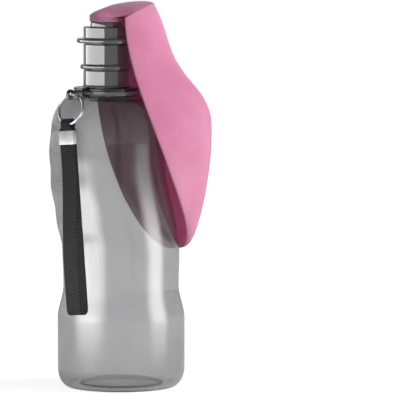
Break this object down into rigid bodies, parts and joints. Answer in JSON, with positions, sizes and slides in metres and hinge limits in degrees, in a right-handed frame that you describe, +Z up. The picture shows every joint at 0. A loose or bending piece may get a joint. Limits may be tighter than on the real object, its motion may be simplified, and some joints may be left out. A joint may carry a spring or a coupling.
{
  "type": "dog travel water bottle",
  "caption": "Leaning squeeze bottle with a screw cap, a turning valve ring, a wrist strap and a silicone leaf that unfolds into a drinking trough over the nozzle.",
  "frame": {"origin": "middle of the bottle's base, on the plane it stands on", "axes": "+Z up, +X towards the folded leaf; the neck stands 10.5 mm back along -X"},
  "size_m": [0.1174, 0.0828, 0.2506],
  "materials": {
    "smoke_plastic": "clear smoke-grey plastic, glossy",
    "smoke_cap": "clear smoke-grey plastic, glossy",
    "strap_plastic": "dark grey plastic",
    "ring_steel": "bright steel",
    "webbing": "woven black polyester",
    "seal_rubber": "soft white silicone",
    "white_plastic": "white plastic",
    "leaf_silicone": "satin pink silicone"
  },
  "bodies": {
    "bottle": {"bottle_body": "smoke_plastic"},
    "collar": {"strap_collar": "strap_plastic"},
    "ring": {"split_ring": "ring_steel"},
    "strap": {"strap_webbing": "webbing", "strap_crimp": "ring_steel"},
    "cap": {"screw_cap": "smoke_cap", "neck_gasket": "seal_rubber", "centre_post": "ring_steel", "disc_seal": "seal_rubber", "head_o_ring": "seal_rubber", "spout_head": "smoke_cap", "post_screw": "ring_steel", "nozzle": "smoke_cap", "leaf_ring": "leaf_silicone"},
    "valve": {"valve_ring": "smoke_cap", "valve_disc": "white_plastic"},
    "leaf_root": {"leaf_root": "leaf_silicone"},
    "leaf_blade": {"leaf_blade": "leaf_silicone"}
  },
  "joints": [
    {"name": "collar_turn", "type": "hinge", "parent": "bottle", "child": "collar", "pos_m": [-0.0105, 0, 0.193], "axis": [0, 0, 1], "range_deg": [-90, 50]},
    {"name": "ring_swing", "type": "hinge", "parent": "collar", "child": "ring", "pos_m": [-0.0411, -0.01236, 0.192], "axis": [-0.3746, 0.9272, 0], "range_deg": [0, 60]},
    {"name": "strap_swing", "type": "hinge", "parent": "ring", "child": "strap", "pos_m": [-0.04689, -0.0147, 0.17385], "axis": [-0.3746, 0.9272, 0], "range_deg": [0, 60]},
    {"name": "cap_lift", "type": "slide", "parent": "bottle", "child": "cap", "axis": [0, 0, 1], "range_m": [0, 0.03]},
    {"name": "valve_turn", "type": "hinge", "parent": "cap", "child": "valve", "pos_m": [-0.0105, 0, 0.208], "axis": [0, 0, 1], "range_deg": [0, 90]},
    {"name": "leaf_lift", "type": "hinge", "parent": "cap", "child": "leaf_root", "pos_m": [-0.02156, 0, 0.24095], "axis": [0, -1, 0], "range_deg": [0, 75]},
    {"name": "leaf_fold", "type": "hinge", "parent": "leaf_root", "child": "leaf_blade", "pos_m": [0.0225, 0, 0.24925], "axis": [0, -1, 0], "range_deg": [0, 96]}
  ],
  "couplings": [
    {"joint": "leaf_fold", "follows": "leaf_lift", "ratio": 1.28}
  ]
}
